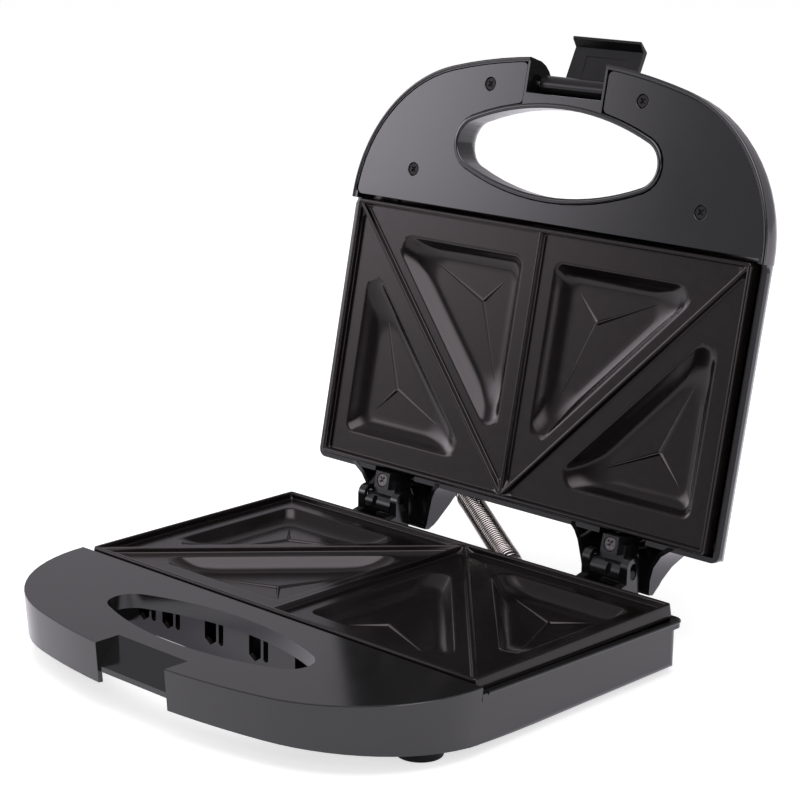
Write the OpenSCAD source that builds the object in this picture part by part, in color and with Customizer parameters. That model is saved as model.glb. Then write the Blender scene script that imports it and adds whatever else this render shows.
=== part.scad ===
// Two-slice sandwich toaster with a hinged lid, standing open.
// Built in a plate frame: the plates' rims meet at z = 0, y = 0 is the plates' handle edge,
// and +y runs to the hinge. place() then moves it so that z = 0 is the table.

/* [Plates] */
// Width of a cooking plate over its rim
plate_w = 218; // [190:1:240]
// Depth of a cooking plate from handle edge to hinge edge
plate_d = 120; // [108:1:132]
// Height of the skirt round a plate
skirt_h = 6; // [5.6:0.1:8]
// Thickness of the raised rim
rim_t = 2.4; // [1.8:0.1:3]
// How far the cooking face lies below the rim
face_drop = 2.8; // [2:0.1:3]
// Cast thickness of the cooking face
cast_t = 2.4; // [2:0.1:2.6]
// Depth of a sandwich pocket below the cooking face
pocket_depth = 5.4; // [4.5:0.1:7.5]
// How far a pocket's wall leans in from mouth to floor
pocket_run = 5.5; // [2:0.5:7]
// Corner radius of a pocket's mouth
pocket_r = 6.5; // [5:0.5:8]
// Pocket mouth to the plate's side edge
side_margin = 11; // [10:0.5:14]
// Pocket mouth to the plate's handle edge
front_margin = 13.5; // [11:0.5:16]
// Pocket mouth to the plate's hinge edge
rear_margin = 12; // [10:0.5:15]
// Pocket mouth to a dividing ridge's centre line
ridge_margin = 8.2; // [7.5:0.1:10]
// Width of a dividing ridge at its crest
ridge_w = 1.4; // [1:0.1:2.5]
// Height of a dividing ridge above the cooking face
ridge_h = 2.3; // [1.5:0.1:2.6]
// Gap between the two rims when the lid is shut
shut_gap = 0.4; // [0.2:0.1:1]

/* [Housings] */
// How far the handles stand out past each side of the plates
shell_side = 4.5; // [4.4:0.1:7]
// How far a handle's walls lean inward over their height
wall_lean = 2; // [0.5:0.1:3]
// How far the handles reach in front of the plates
handle_reach = 72; // [66:1:80]
// Radius of the handle's corner curve
corner_r = 66; // [58:1:68]
// Moulded wall thickness
wall = 2.2; // [1.6:0.1:2.6]
// Depth of the base below the plate's rim
base_depth = 26.4; // [25:0.1:32]
// Level of the base handle's deck below the rim
deck_drop = 1; // [0.6:0.1:2]
// Level of the base's lip below the rim, at the handle
lip_drop = 4.4; // [4:0.1:6]
// How much lower the base's lip lies at the hinge
lip_fall = 2.2; // [0:0.1:3]
// Level of the lid's lip above the rim
lid_lip = 4.8; // [4:0.1:7]
// Height of the lip
lip_h = 2.6; // [2:0.1:4]
// How far the straight side wall sits inside the lip
lip_step = 1.1; // [0.4:0.1:1.6]
// Radius along the base's long bottom edges
bottom_r = 3; // [2:0.5:6]
// Radius of the long sweep of the base's bottom edge
keel_r = 1200; // [900:10:2000]
// How far the lowest place of that sweep lies behind the plates' handle edge
keel_y = 75; // [50:1:100]
// Thickness of the lid's handle
lid_handle_h = 19.5; // [17:0.5:21]
// Height of the lid's crown above the rim
lid_depth = 27; // [26:0.5:34]
// Radius round the lid handle's outer edge
lid_edge_r = 14; // [8:0.5:14]
// Radius along the lid's sides
lid_side_r = 13; // [8:0.5:16]
// Radius of the crown from side to side
crown_r = 900; // [600:10:1500]
// Radius of the crown from handle to hinge
arch_r = 420; // [300:10:700]
// Level of the lid shell's rim above the plate's rim
lid_rim = 1.6; // [1:0.1:2.5]

/* [Handles] */
// Half length of the finger opening
oval_a = 54.5; // [48:0.5:58]
// Half height of the finger opening
oval_b = 18.8; // [15:0.1:20]
// Radius at the finger opening's ends
oval_end_r = 10; // [8:0.5:12]
// Centre of the finger opening in front of the plates
oval_y = 31.6; // [30:0.1:36]
// Rounding of the lid's finger opening where the fingers wrap round it
oval_edge_r = 10; // [4:0.5:11]
// Depth of the collar round the base's finger opening
collar_h = 6; // [4:0.5:10]
// Width of the latch gap in the base handle
notch_w = 39.4; // [38:0.1:46]
// Depth of the latch gap behind the handle's front
notch_d = 12.4; // [12:0.1:15]
// Level of the catch ledge below the rim
ledge_drop = 11; // [9:0.5:12]
// Thickness of the catch ledge
ledge_t = 2.2; // [1.6:0.1:3]
// Width of the latch gap in the lid handle
slot_w = 41; // [40.6:0.1:46]
// Width of the shell's edge beside that gap
slot_rim = 1.1; // [0.8:0.1:2]
// Depth of the latch gap in the lid handle
slot_d = 16.2; // [16.1:0.1:17]
// Recess of the handle panel inside the shell's rim
panel_recess = 0.5; // [0.2:0.1:1.2]
// Thickness of the handle panel
panel_t = 2.4; // [1.8:0.1:3]
// Width of the shell's rim round the panel
panel_rim = 1.6; // [1.4:0.1:3]
// Groove round the handle panel
panel_groove = 0.4; // [0.3:0.1:1]
// Radius of the handle panel's corners
panel_r = 2.6; // [1:0.1:4]

/* [Hinge] */
// How far the hinge axis lies behind the plates
axis_back = 15.2; // [14.8:0.1:18]
// How far the lid stands open
open_angle = 101.4; // [90:0.1:106]
// Radius of a hinge pin
pin_r = 2; // [1.5:0.1:2.2]
// Running clearance round a pin in the base's ears
pin_clear = 0.05; // [0.02:0.01:0.1]
// Length of the ears' slot above the pin, which lets the lid rise over a thick sandwich
float_h = 3; // [1:0.5:4]
// Radius of a hinge barrel
barrel_r = 4.2; // [3.8:0.1:4.5]
// Middle of a hinge from the centre of the toaster
hinge_x = 65; // [62:0.5:70]
// Length of a hinge barrel
barrel_l = 15.2; // [12:0.1:15.6]
// Thickness of a base ear
ear_t = 3.8; // [3:0.1:4]
// Gap between a barrel and an ear
ear_gap = 0.5; // [0.3:0.1:0.8]

/* [Latch] */
// Radius of the latch's barrel
latch_barrel_r = 4.1; // [3.5:0.1:4.5]
// Length of the latch's barrel
latch_barrel_l = 36; // [32:0.5:40]
// Width of the latch's face
latch_w = 37; // [32:0.5:38]
// Thickness of the latch's face
latch_t = 2.3; // [1.8:0.1:2.8]
// Latch pivot behind the handle's front
latch_back = 11.6; // [11:0.1:11.7]
// Latch pivot above the plate's rim
latch_up = 11; // [10:0.1:12]
// How far the latch swings from shut to folded back
latch_swing = 105; // [90:1:106]
// How far the hook reaches in under the ledge
hook_reach = 3.8; // [3:0.1:4.2]
// Radius of the latch's steel pin
latch_pin_r = 1.5; // [1.2:0.1:1.8]

/* [Inside] */
// Radius of a heating element's sheath
element_r = 3.1; // [2.8:0.05:3.15]
// Heating element's centre line in from the plate's edge
element_in = 6.4; // [6:0.1:7]
// Thickness of a reflector sheet
sheet_t = 0.8; // [0.5:0.1:1]
// Radius of a plate screw's thread
screw_r = 2; // [1.5:0.1:2.2]
// Radius of a plate screw's head
head_r = 3.6; // [3:0.1:3.8]
// Radius of a rubber foot
foot_r = 9; // [7:0.5:11]
// Height of a rubber foot below the base's lowest line
foot_h = 2; // [2:0.5:6]
// Radius of the wire guard's coil
guard_r = 4.7; // [4:0.1:5.5]
// Radius of the mains cord's inlet
inlet_r = 4.2; // [3.5:0.1:5]
// Radius of a pilot light's lens
lens_r = 4; // [3:0.1:5]

/* [Hidden] */
$fn = 64;
long_fn = 720;
over = 1;
axis_y = plate_d + axis_back;
axis_z = shut_gap / 2;
rest_z = base_depth + foot_h;
half_w = plate_w / 2 + shell_side;
side_x = half_w - 0.8;
body_y0 = -wall - 3;
body_y1 = plate_d + wall + 0.3;
base_y1 = plate_d + 1.2;
lip_low = lip_drop + lip_fall;
front_r = (corner_r * corner_r - pow(half_w - corner_r, 2) - handle_reach * handle_reach)
  / (2 * (corner_r - handle_reach));
front_cy = front_r - handle_reach;
turn = atan2(half_w - corner_r, front_cy);
under_face = face_drop + cast_t;
pan_level = max(face_drop + pocket_depth + cast_t, face_drop + cast_t + 2 * element_r + 0.5);
floor_top = -base_depth + wall;
floor_x = 80;
diag_x = plate_w / 2 - rim_t;
diag_y0 = rim_t;
diag_y1 = plate_d - rim_t;
diag_len = norm([diag_x, diag_y1 - diag_y0]);
oval_side_r = (pow(oval_a - oval_end_r, 2) + oval_b * oval_b - oval_end_r * oval_end_r)
  / (2 * (oval_b - oval_end_r));
oval_turn = atan2(oval_a - oval_end_r, oval_side_r - oval_b);
lens_y = 16;
lens_x = 15;
lens_z = 18.4;
side_h = 7;
ear_up = 1.6;
lean_i = wall_lean * (lid_handle_h - lid_edge_r) / lid_handle_h;
hinge_screw_y = plate_d + 4.6;
guard_gap = 1.1;
fuse_y = plate_d - 21.5;
thermostat_y = plate_d / 2 - 3;
terminal_y = plate_d - 24;
panel_z = lid_rim + panel_recess;
panel_back = -1.4;
latch_y = -handle_reach + latch_back;
guard_lid = [-24, body_y1, 12];
guard_base = [24, base_y1, -15];
screw_spots = [[0, plate_d / 5], [0, plate_d - 28], [-diag_x / 2, plate_d / 2],
  [diag_x / 2, plate_d / 2]];
panel_spots = [[34.5 - half_w, -16], [half_w - 34.5, -16], [-41.5, 14.3 - handle_reach],
  [41.5, 14.3 - handle_reach]];
foot_y = 14;
foot_seat = 0.5;
inlet_x = -20;
inlet_z = -16;
foot_spots = [[-95, -foot_y], [95, -foot_y], [-92, plate_d - 8], [92, plate_d - 8]];
latch_face = -handle_reach - latch_t - 0.4;
hook_z = -ledge_drop - 0.7;
// Side view of the latch, drawn shut: top web, face and hook
latch_outline = [[latch_face, latch_up - 0.6], [latch_face + 1.6, latch_up + 0.9],
  [latch_y, latch_up + latch_barrel_r - 0.1], [latch_y, latch_up + latch_barrel_r - 2.4],
  [latch_face + latch_t + 0.8, latch_up - 1.2], [latch_face + latch_t, latch_up - 2.2],
  [latch_face + latch_t, hook_z], [latch_face + latch_t + hook_reach, hook_z - 2.5],
  [latch_face + latch_t + hook_reach, hook_z - 3.6], [latch_face + 0.4, hook_z - 1.3],
  [latch_face, hook_z - 0.8]];
function turned(p, c, a) = c + [(p - c)[0] * cos(a) + (p - c)[1] * sin(a),
  (p - c)[1] * cos(a) - (p - c)[0] * sin(a)];
// Rearmost point of all: the folded latch on the open lid
latch_far = [for (p = latch_outline)
  turned(turned(p, [latch_y, latch_up], latch_swing), [axis_y, axis_z], open_angle)[0]];
centre_y = (max(latch_far) - handle_reach) / 2;

// ---- frames -------------------------------------------------------------------------------

// Level of the base's bottom edge at y.
function keel_z(y) = -base_depth + pow(y - keel_y, 2) / (2 * keel_r);

module place() translate([0, -centre_y, rest_z]) children();

// Moves a lid piece drawn shut to where it stands with the lid open.
module opened()
  place()
    translate([0, axis_y, axis_z])
      rotate([-open_angle, 0, 0])
        translate([0, -axis_y, -axis_z]) children();

// Moves the latch, drawn shut, to where it lies folded back.
module folded()
  opened()
    translate([0, latch_y, latch_up])
      rotate([-latch_swing, 0, 0])
        translate([0, -latch_y, -latch_up]) children();

module both_sides() {
  children();
  mirror([1, 0, 0]) children();
}

// ---- shared shapes ------------------------------------------------------------------------

// Block from x = -w/2 to w/2 and y0 to y1 with rounded upright corners.
module round_block(w, y0, y1, z0, z1, r) {
  translate([-w / 2 + r, y0, z0]) cube([w - 2 * r, y1 - y0, z1 - z0]);
  translate([-w / 2, y0 + r, z0]) cube([w, y1 - y0 - 2 * r, z1 - z0]);
  for (x = [-w / 2 + r, w / 2 - r], y = [y0 + r, y1 - r])
    translate([x, y, z0]) cylinder(r = r, h = z1 - z0);
}

// Points of the handle's plan at inset i: two corner arcs and the long front arc.
function arc(cx, cy, r, from, to, n) = [for (k = [0:n])
  let (a = from + (to - from) * k / n) [cx + r * cos(a), cy + r * sin(a)]];
function tail(v) = [for (k = [1:len(v) - 1]) v[k]];
function handle_plan(i, back) = concat(
  [[-half_w + i, back]],
  arc(-half_w + corner_r, 0, corner_r - i, 180, 270 - turn, 14),
  tail(arc(0, front_cy, front_r - i, 270 - turn, 270 + turn, 14)),
  tail(arc(half_w - corner_r, 0, corner_r - i, 270 + turn, 360, 14)),
  [[half_w - i, back]]);

// Upright slab of that plan.
module handle_slab(i, z0, z1)
  translate([0, 0, z0]) linear_extrude(z1 - z0) polygon(handle_plan(i, 12));

// The same plan from inset i0 below to i1 above, with a rounding of radius er up to its top,
// built ring on ring.
module handle_dome(i0, i1, z0, z1, er, step = 15)
  stack(concat([[handle_plan(i0, 12), z0]], [for (a = [0:step:90])
    [handle_plan(i1 + er * (1 - cos(a)), 12), z1 - er + er * sin(a)]]));

// Solid through a list of [outline, height] of equal count, from low to high.
module stack(rings) {
  n = len(rings[0][0]);
  m = len(rings);
  polyhedron(
    points = [for (q = rings) for (p = q[0]) [p[0], p[1], q[1]]],
    faces = concat([[for (k = [0:n - 1]) k]], [[for (k = [n - 1:-1:0]) k + (m - 1) * n]],
      [for (j = [0:m - 2]) for (k = [0:n - 1]) [j * n + k, (j + 1) * n + k, (j + 1) * n + (k + 1) % n]],
      [for (j = [0:m - 2]) for (k = [0:n - 1]) [j * n + k, (j + 1) * n + (k + 1) % n, j * n + (k + 1) % n]]));
}

// Finger opening made of four arcs, grown by g.
module oval_2d(g) {
  translate([0, -oval_y]) {
    for (s = [-1, 1])
      translate([s * (oval_a - oval_end_r), 0]) circle(r = oval_end_r + g);
    intersection() {
      translate([0, -oval_side_r + oval_b]) circle(r = oval_side_r + g, $fn = long_fn);
      translate([0, oval_side_r - oval_b]) circle(r = oval_side_r + g, $fn = long_fn);
      square([2 * (oval_side_r + g) * sin(oval_turn), 4 * oval_b], center = true);
    }
  }
}

module oval(g, z0, z1)
  translate([0, 0, z0]) linear_extrude(z1 - z0) oval_2d(g);

// Points of the finger opening grown by g.
function oval_plan(g) = [for (p = concat(
  tail(arc(oval_a - oval_end_r, 0, oval_end_r + g, oval_turn - 90, 90 - oval_turn, 8)),
  tail(arc(0, oval_b - oval_side_r, oval_side_r + g, 90 - oval_turn, 90 + oval_turn, 12)),
  tail(arc(oval_end_r - oval_a, 0, oval_end_r + g, 90 + oval_turn, 270 - oval_turn, 8)),
  tail(arc(0, oval_side_r - oval_b, oval_side_r + g, 270 - oval_turn, 270 + oval_turn, 12))))
  [p[0], p[1] - oval_y]];

// Flare that rounds the opening's far edge at level z by radius er, grown by g.
module oval_flare(z, er, g, top)
  stack(concat([for (a = [0:18:90]) [oval_plan(er * (1 - cos(a)) + g), z - er + er * sin(a)]],
    [[oval_plan(er + g + 0.1), z + top]]));

module along_x(w) translate([-w / 2, 0, 0]) rotate([90, 0, 90]) linear_extrude(w) children();

module along_y(y0, y1) translate([0, y1, 0]) rotate([90, 0, 0]) linear_extrude(y1 - y0) children();

module rod_x(x0, x1, y, z, r)
  translate([x0, y, z]) rotate([0, 90, 0]) cylinder(r = r, h = x1 - x0);

module rod_y(x, y0, y1, z, r)
  translate([x, y0, z]) rotate([-90, 0, 0]) cylinder(r = r, h = y1 - y0);

module post(spot, z0, z1, r) translate([spot[0], spot[1], z0]) cylinder(r = r, h = z1 - z0);

// Cross-head recess cut into a screw's face at z, depth d towards +z.
module cross_cut(spot, z, d, size)
  for (a = [45, 135])
    translate([spot[0], spot[1], z + d / 2]) rotate([0, 0, a]) cube([size, size / 4, d], center = true);

// ---- pocket geometry ----------------------------------------------------------------------

function unit(v) = v / norm(v);
function meet(p, d, q, e) = p + d * (((q - p)[0] * e[1] - (q - p)[1] * e[0]) / (d[0] * e[1] - d[1] * e[0]));
function inward(d) = [-d[1], d[0]];

// Corners of a counter-clockwise outline with every side moved inward by e.
function inset(v, e) = [for (k = [0:len(v) - 1])
  let (n = len(v), a = v[(k + n - 1) % n], b = v[k], c = v[(k + 1) % n],
    d0 = unit(b - a), d1 = unit(c - b))
  meet(b + inward(d0) * e, d0, b + inward(d1) * e, d1)];

// The same outline with each corner turned into an arc of six steps.
function soften(v, r) = [for (k = [0:len(v) - 1])
  let (n = len(v), a = v[(k + n - 1) % n], b = v[k], c = v[(k + 1) % n],
    u = unit(a - b), w = unit(c - b), half = acos(u * w) / 2,
    o = b + unit(u + w) * (r / sin(half)), t0 = b + u * (r / tan(half)), s = 180 - 2 * half,
    from = atan2((t0 - o)[1], (t0 - o)[0]))
  for (m = [0:6]) o + r * [cos(from + s * m / 6), sin(from + s * m / 6)]];

diag_dir = unit([diag_x, diag_y1 - diag_y0]);
diag_side = [diag_dir[1], -diag_dir[0]] * ridge_margin;
diag_inner = [0, diag_y1] + diag_side;
diag_outer = [0, diag_y1] - diag_side;
px = -plate_w / 2 + side_margin;
rear_y = plate_d - rear_margin;
// Left half of the plate: the triangle against the handle and the one against the hinge
inner_tri = [meet([0, front_margin], [1, 0], diag_inner, diag_dir), [-ridge_margin, front_margin],
  meet([-ridge_margin, 0], [0, 1], diag_inner, diag_dir)];
outer_tri = [meet([px, 0], [0, 1], diag_outer, diag_dir),
  meet([0, rear_y], [1, 0], diag_outer, diag_dir), [px, rear_y]];

function side_len(t, k) = norm(t[(k + 1) % 3] - t[(k + 2) % 3]);
function incentre(t) = (t[0] * side_len(t, 0) + t[1] * side_len(t, 1) + t[2] * side_len(t, 2))
  / (side_len(t, 0) + side_len(t, 1) + side_len(t, 2));

// Three fine creases that meet on a pocket's floor.
module creases(tri, level) {
  c = incentre(tri);
  pts = [for (k = [0:2]) let (d = tri[k] - c, s = inward(unit(d)) * 0.7)
    each [c + s, c + d * (1 - pocket_run * 2.9 / norm(d)), c - s]];
  for (k = [0:2])
    translate([0, 0, level - 0.2])
      linear_extrude(0.9) polygon([pts[3 * k], pts[3 * k + 1], pts[3 * k + 2]]);
}

module ridge(len_r)
  rotate([90, 0, 0])
    linear_extrude(len_r)
      polygon([[-ridge_w / 2 - 1.2, 0], [ridge_w / 2 + 1.2, 0], [ridge_w / 2, ridge_h],
        [-ridge_w / 2, ridge_h]]);

module half_ridges() {
  translate([0, diag_y1, -face_drop - 0.01])
    rotate([0, 0, -atan2(diag_x, diag_y1 - diag_y0)]) ridge(diag_len);
}

// Cooking plate seen with its rim at z = 0 and its face up.
module plate() {
  slope = pocket_run / pocket_depth;
  difference() {
    union() {
      difference() {
        round_block(plate_w, 0, plate_d, -skirt_h, 0, 1.6);
        round_block(plate_w - 2 * rim_t, rim_t, plate_d - rim_t, -face_drop, over, 1);
        round_block(plate_w - 2 * rim_t, rim_t, plate_d - rim_t, -skirt_h - over, -under_face, 1);
      }
      both_sides()
        for (t = [inner_tri, outer_tri])
          stack([[soften(inset(t, pocket_run - 1.8), pocket_r), -pan_level],
            [soften(inset(t, -1.4), pocket_r), -under_face + 0.6]]);
      both_sides() half_ridges();
      translate([0, diag_y1, -face_drop - 0.01]) ridge(diag_y1 - diag_y0);
      for (s = screw_spots) post(s, -pan_level, -under_face + 0.6, 4.4);
    }
    both_sides()
      for (t = [inner_tri, outer_tri])
        stack([[soften(inset(t, pocket_run), pocket_r - 2), -face_drop - pocket_depth],
          [soften(inset(t, -slope * 0.5), pocket_r), -face_drop + 0.5]]);
    for (s = screw_spots) post(s, -pan_level - over, -under_face + 0.4, screw_r);
  }
  both_sides()
    for (t = [inner_tri, outer_tri]) creases(t, -face_drop - pocket_depth);
}

// Sheathed element bent to a loop under the plate's margin, with a terminal pin at each end.
module element() {
  z = -under_face - element_r;
  x = plate_w / 2 - element_in;
  y0 = element_in;
  y1 = plate_d - element_in;
  bend = 9;
  end_x = 11;
  rod_x(-x + bend, x - bend, y0, z, element_r);
  both_sides() {
    rod_y(x, y0 + bend, y1 - bend, z, element_r);
    rod_x(end_x, x - bend, y1, z, element_r);
    rod_x(end_x - 6, end_x, y1, z, 1.5);
    for (c = [[y0 + bend, -90], [y1 - bend, 0]])
      translate([x - bend, c[0], z])
        rotate([0, 0, c[1]])
          rotate_extrude(angle = 90)
            translate([bend, 0]) circle(r = element_r);
  }
}

// Reflector sheet under the element; hole is a list of [x, y, half x, half y] cut-outs.
module reflector(cut_outs) {
  difference() {
    round_block(plate_w - 2 * rim_t - 5, rim_t + 2.5, plate_d - rim_t - 2.5,
      -pan_level - sheet_t, -pan_level, 5);
    for (s = screw_spots) post(s, -pan_level - sheet_t - over, -pan_level + over, screw_r + 0.3);
    for (c = cut_outs)
      translate([c[0] - c[2], c[1] - c[3], -pan_level - sheet_t - over])
        cube([2 * c[2], 2 * c[3], sheet_t + 2 * over]);
  }
}

// Flips a piece of the lower half to the upper half.
module upper() translate([0, 0, shut_gap]) mirror([0, 0, 1]) children();

// ---- base ---------------------------------------------------------------------------------

module body_section(i, top) {
  x = side_x - lip_step;
  r = max(bottom_r - i, 0.3);
  translate([-x + i, -base_depth + i + r]) square([2 * (x - i), base_depth - i - r + top]);
  translate([-x + i + r, -base_depth + i]) square([2 * (x - i - r), base_depth - i + top]);
  for (s = [-1, 1]) translate([s * (x - i - r), -base_depth + i + r]) circle(r = r);
}

// Side view of what lies under the base's falling lip line, moved down by e.
module under_lip(e, y0, y1)
  along_x(2 * half_w + 4)
    polygon([[y0, -base_depth - 5], [y1, -base_depth - 5],
      [y1, -lip_drop - lip_fall * y1 / plate_d - e], [y0, -lip_drop - lip_fall * y0 / plate_d - e]]);

// Everything above the base's swept bottom edge, moved up by e.
module keel_rod(e)
  rod_x(-half_w - 5, half_w + 5, keel_y, keel_r - base_depth - 0.05 + e, keel_r, $fn = long_fn);

// Keeps what lies above that sweep or above the flat floor between the sides, moved in by e.
module above_keel(e = 0)
  intersection() {
    children();
    union() {
      keel_rod(e);
      translate([-floor_x + e, body_y0, -base_depth - over])
        cube([2 * (floor_x - e), plate_d + 60, base_depth + 20]);
    }
  }

module vent(x, z0, z1, w)
  translate([x, 0, 0])
    along_y(body_y0 - over, body_y0 + wall + over)
      polygon([[-w / 2, z1], [-w / 2, z0 + w / 3], [0, z0], [w / 2, z0 + w / 3], [w / 2, z1]]);

module base_hinge() {
  out = hinge_x + barrel_l / 2 + ear_gap;
  inn = hinge_x - barrel_l / 2 - ear_gap - ear_t;
  for (x = [inn, out])
    difference() {
      union() {
        translate([x, 0, 0])
          rotate([90, 0, 90])
            linear_extrude(ear_t)
              polygon([[base_y1 - 0.5, -18], [axis_y, -13], [axis_y + barrel_r, -9],
                [axis_y + barrel_r, float_h], [axis_y - barrel_r, float_h],
                [axis_y - barrel_r, -3], [base_y1 - 0.5, -lip_drop - 0.6]]);
        rod_x(x, x + ear_t, axis_y, axis_z + float_h, barrel_r);
      }
      rod_x(x - over, x + ear_t + over, axis_y, axis_z, pin_r + pin_clear);
      rod_x(x - over, x + ear_t + over, axis_y, axis_z + float_h, pin_r + pin_clear);
      translate([x - over, axis_y - pin_r - pin_clear, axis_z])
        cube([ear_t + 2 * over, 2 * (pin_r + pin_clear), float_h]);
    }
  translate([inn, base_y1 - 0.5, -13])
    cube([out + ear_t - inn, axis_y + barrel_r - base_y1 + 0.5, 3]);
}

module base_housing() {
  notch_back = -handle_reach + notch_d;
  color("#1b1a1c") place() {
    difference() {
      union() {
        // Handle shell and deck
        above_keel() difference() {
          handle_dome(wall_lean, 0, -base_depth, -deck_drop, 0.6, 45);
          handle_dome(wall_lean + wall, wall, -base_depth - over, -deck_drop - wall, 0.6, 45);
          translate([-half_w, -0.8, -base_depth - over]) cube([2 * half_w, 20, base_depth + 10]);
        }
        oval(wall, -deck_drop - collar_h, -deck_drop - 0.5);
        // Cooking body
        difference() {
          intersection() {
            along_y(body_y0, base_y1) body_section(0, -lip_drop);
            above_keel()
              round_block(2 * (side_x - lip_step), body_y0 - 10, base_y1, -base_depth - over, 0, 6);
            under_lip(0.4, body_y0 - 20, plate_d + 20);
          }
          above_keel(wall) intersection() {
            along_y(body_y0 + wall, base_y1 - wall) body_section(wall, over);
            round_block(2 * (side_x - lip_step - wall), body_y0 - 10, base_y1 - wall, floor_top, over, 4);
          }
        }
        // Lip round the cooking body, falling towards the hinge
        difference() {
          intersection() {
            round_block(2 * side_x, body_y0, base_y1 + lip_step, -lip_low - lip_h, 0, 4.4);
            under_lip(0, body_y0 - 20, plate_d + 20);
          }
          under_lip(lip_h, body_y0 - 30, plate_d + 30);
          round_block(2 * (side_x - lip_step - wall), body_y0 + wall, base_y1 - wall,
            -lip_low - lip_h - over, over, 2);
          translate([-half_w, body_y0 - over, -lip_low - lip_h - over])
            cube([2 * half_w, wall + 4, lip_low + lip_h + 3 * over]);
        }
        // Wall from the body up to the deck
        translate([-side_x + lip_step + 0.4, body_y0, -lip_low - 1])
          cube([2 * (side_x - lip_step - 0.4), wall, lip_low - deck_drop - wall + 1.2]);
        // Floors of the front corners
        difference() {
          intersection() {
            handle_slab(wall_lean + 0.4, -base_depth, -10);
            keel_rod(0);
            both_sides() translate([floor_x - wall, -70, -base_depth]) cube([40, 70 + body_y0 + 0.5, 15]);
          }
          keel_rod(wall);
        }
        // Inner walls of the front corners
        intersection() {
          handle_slab(wall_lean + 0.4, -base_depth, -deck_drop - 1);
          keel_rod(0.2);
          both_sides()
            translate([floor_x - wall, -70, -base_depth]) cube([wall, 70 + body_y0 + 0.5, base_depth]);
        }
        // Latch gap: side cheeks, sloping back and catch ledge
        intersection() {
          handle_dome(wall_lean + 0.3, 0.3, -base_depth, -deck_drop - 0.2, 0.6, 45);
          union() {
            for (x = [-notch_w / 2 - wall, notch_w / 2])
              translate([x, 0, 0]) rotate([90, 0, 90]) linear_extrude(wall)
                polygon([[-handle_reach, -16.6], [-handle_reach, 0], [notch_back + 2, 0],
                  [notch_back + 2, -5], [-handle_reach + 5, -ledge_drop - ledge_t]]);
            along_x(notch_w + 1)
              polygon([[notch_back, -deck_drop], [notch_back + wall, -deck_drop],
                [notch_back + wall, -deck_drop - wall - 1],
                [-handle_reach + 5.2, -ledge_drop - ledge_t],
                [-handle_reach + 2.6, -ledge_drop - ledge_t], [-handle_reach + 2.6, -ledge_drop]]);
          }
        }
        // Posts for the plate screws and seats for the feet
        for (s = screw_spots) post(s, floor_top - 0.4, -pan_level - sheet_t, 5.6);
        for (s = foot_spots) post(s, keel_z(s[1]) - foot_seat, keel_z(s[1]) + wall + 1.4, foot_r + 0.6);
        both_sides() base_hinge();
        rod_y(inlet_x, base_y1 - 0.5, base_y1 + 3, inlet_z, inlet_r + 2);
      }
      // Finger opening
      oval(0, -base_depth - over, over);
      // Latch gap
      intersection() {
        translate([-notch_w / 2, -handle_reach - 5, -base_depth - over])
          cube([notch_w, notch_d + 5, base_depth + 5]);
        along_x(notch_w + 2)
          polygon([[-handle_reach - 5, 5], [notch_back, 5], [notch_back, -deck_drop],
            [-handle_reach + 2.6, -ledge_drop], [-handle_reach + 2.6, -ledge_drop - ledge_t],
            [-handle_reach + 5.2, -ledge_drop - ledge_t], [-handle_reach + 5.2, -base_depth - over],
            [-handle_reach - 5, -base_depth - over]]);
      }
      // Air slots in the body's front wall, each beside a thin rib
      for (x = [-67, -52, -26, 0, 26, 52, 67]) {
        vent(x - 1.6, -21.5, -7, 6.8);
        vent(x + 4.6, -20.5, -7, 2.8);
      }
      // Air slots in the floor
      for (k = [-4:3], y = [plate_d / 3, plate_d * 0.62])
        translate([k * 16 + 6.4, y, -base_depth - over]) cube([3.2, 22, wall + 2 * over]);
      // Counterbores and clearance holes for the plate screws
      for (s = screw_spots) {
        post(s, -base_depth - over, -pan_level - sheet_t - 3.6, head_r + 0.5);
        post(s, -base_depth - over, -pan_level - sheet_t + over, screw_r + 0.3);
      }
      for (s = foot_spots) post(s, keel_z(s[1]) - foot_seat - over, keel_z(s[1]) + wall + 2.6, 2.5);
      rod_y(inlet_x, base_y1 - wall - over, base_y1 + 3 + over, inlet_z, inlet_r);
      rod_y(guard_base[0], base_y1 - wall - over, base_y1 + lip_step + over, guard_base[2],
        guard_r + guard_gap);
    }
  }
}

module lower_plate() color("#2b292a") place() plate();
module lower_element() color("#8c8a86") place() element();
module lower_reflector() color("#c4c6c8") place() reflector([[0, thermostat_y, 9, 16]]);

module lower_plate_screws()
  color("#a9abae") place()
    for (s = screw_spots) difference() {
      union() {
        post(s, -pan_level - sheet_t - 5.8, -pan_level - sheet_t - 3.6, head_r);
        post(s, -pan_level - sheet_t - 3.6, -under_face - 0.6, screw_r);
      }
      cross_cut(s, -pan_level - sheet_t - 5.9, 1.3, head_r * 1.2);
    }

module thermostat()
  color("#8a8578") place() {
    translate([0, thermostat_y, -pan_level - sheet_t]) {
      translate([-7, -12, -6]) cube([14, 24, 5.4]);
      translate([0, 0, -0.7]) cylinder(r = 6.8, h = pan_level + sheet_t - under_face + 0.7);
      for (y = [-9, 7]) translate([-3, y, -8]) cube([6, 2, 2.2]);
    }
  }

module thermal_fuse()
  color("#d6d3c8") place() {
    rod_y(0, fuse_y, fuse_y + 9.5, -under_face - 2, 2);
    rod_y(0, fuse_y - 1.7, fuse_y + 0.1, -under_face - 2, 0.6);
    rod_y(0, fuse_y + 9.4, fuse_y + 11.5, -under_face - 2, 0.6);
  }

module terminal_block()
  color("#e4e1d6") place()
    difference() {
      translate([-62, terminal_y, floor_top]) cube([34, 13, 7.6]);
      for (x = [-56, -45, -34]) {
        rod_y(x, terminal_y - over, terminal_y + 14, floor_top + 3, 1.6);
        for (y = [3, 10]) translate([x, terminal_y + y, floor_top + 3]) cylinder(r = 1.8, h = 6);
      }
    }

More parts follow.
